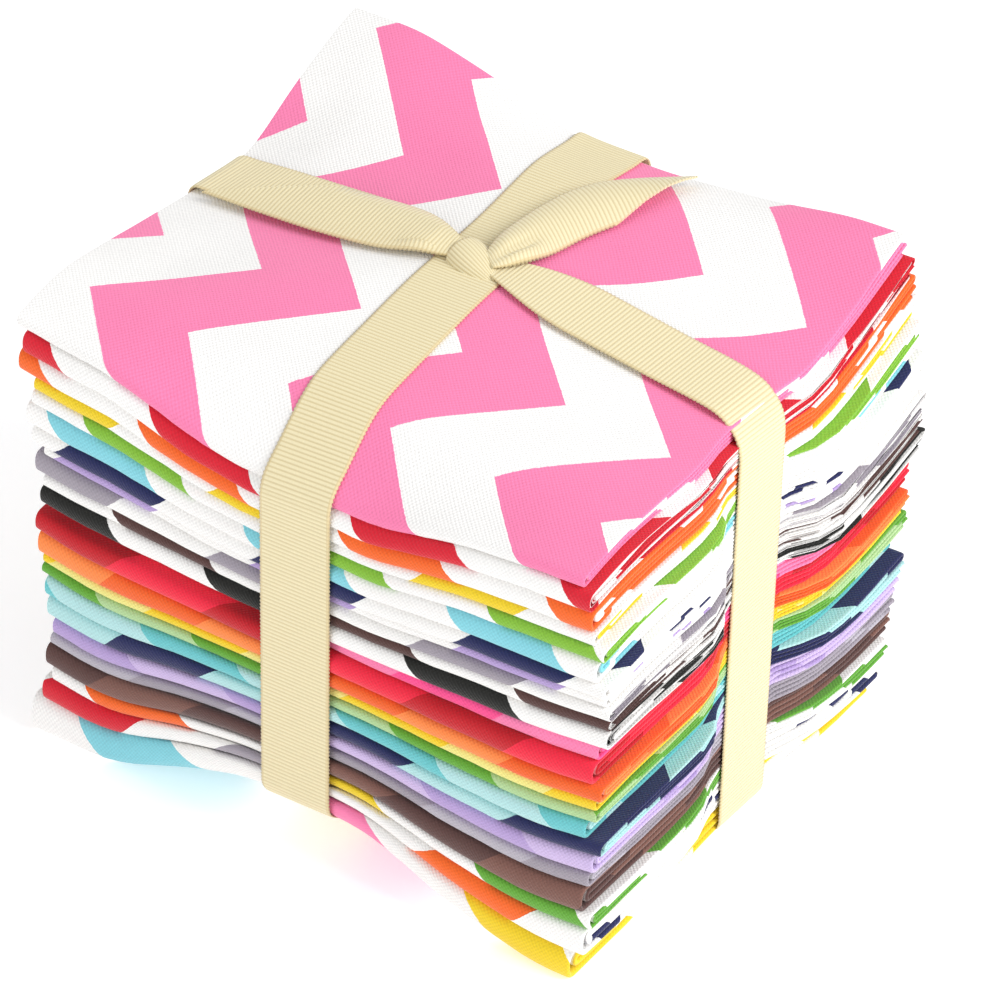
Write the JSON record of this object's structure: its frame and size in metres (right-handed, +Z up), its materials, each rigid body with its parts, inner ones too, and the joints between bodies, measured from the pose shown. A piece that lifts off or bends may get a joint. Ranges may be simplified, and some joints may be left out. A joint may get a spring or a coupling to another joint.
{
  "type": "fat quarter bundle",
  "caption": "Stack of folded quilting-cotton cuts in chevron prints, tied both ways with a knotted grosgrain ribbon.",
  "frame": {"origin": "middle of the bundle's footprint, on the surface that it rests on", "axes": "+Z up; +X along the cloths' long side, towards the end that shows the layers' edges; -Y towards the fat folds"},
  "size_m": [0.1508, 0.1264, 0.1212],
  "materials": {
    "cotton_pink": "matte woven cotton",
    "cotton_red": "matte woven cotton",
    "cotton_orange": "matte woven cotton",
    "cotton_yellow": "matte woven cotton",
    "cotton_lime": "matte woven cotton",
    "cotton_aqua": "matte woven cotton",
    "cotton_navy": "matte woven cotton",
    "cotton_lavender": "matte woven cotton",
    "cotton_gray": "matte woven cotton",
    "cotton_brown": "matte woven cotton",
    "cotton_black": "matte woven cotton",
    "cotton_pink_tonal": "matte woven cotton",
    "cotton_red_tonal": "matte woven cotton",
    "cotton_orange_tonal": "matte woven cotton",
    "cotton_yellow_tonal": "matte woven cotton",
    "cotton_green_tonal": "matte woven cotton",
    "cotton_aqua_tonal": "matte woven cotton",
    "cotton_navy_aqua": "matte woven cotton",
    "cotton_lavender_tonal": "matte woven cotton",
    "cotton_gray_tonal": "matte woven cotton",
    "cotton_brown_tonal": "matte woven cotton",
    "cotton_multi_white": "matte woven cotton",
    "cotton_multi_red": "matte woven cotton",
    "cotton_multi_aqua": "matte woven cotton",
    "grosgrain": "ribbed ribbon with a soft sheen"
  },
  "bodies": {
    "root": {"cloth_01_pink": "cotton_pink", "cloth_02_red": "cotton_red", "cloth_03_orange": "cotton_orange", "cloth_04_yellow": "cotton_yellow", "cloth_05_lime": "cotton_lime", "cloth_06_aqua": "cotton_aqua", "cloth_07_navy": "cotton_navy", "cloth_08_lavender": "cotton_lavender", "cloth_09_gray": "cotton_gray", "cloth_10_brown": "cotton_brown", "cloth_11_black": "cotton_black", "cloth_12_pink_tonal": "cotton_pink_tonal", "cloth_13_red_tonal": "cotton_red_tonal", "cloth_14_orange_tonal": "cotton_orange_tonal", "cloth_15_yellow_tonal": "cotton_yellow_tonal", "cloth_16_green_tonal": "cotton_green_tonal", "cloth_17_aqua_tonal": "cotton_aqua_tonal", "cloth_18_navy_aqua": "cotton_navy_aqua", "cloth_19_lavender_tonal": "cotton_lavender_tonal", "cloth_20_gray_tonal": "cotton_gray_tonal", "cloth_21_brown_tonal": "cotton_brown_tonal", "cloth_22_multi_white": "cotton_multi_white", "cloth_23_multi_red": "cotton_multi_red", "cloth_24_multi_aqua": "cotton_multi_aqua", "ribbon_front_to_back": "grosgrain", "ribbon_side_to_side": "grosgrain", "ribbon_knot": "grosgrain", "ribbon_tail_left": "grosgrain", "ribbon_tail_right": "grosgrain"}
  },
  "joints": []
}
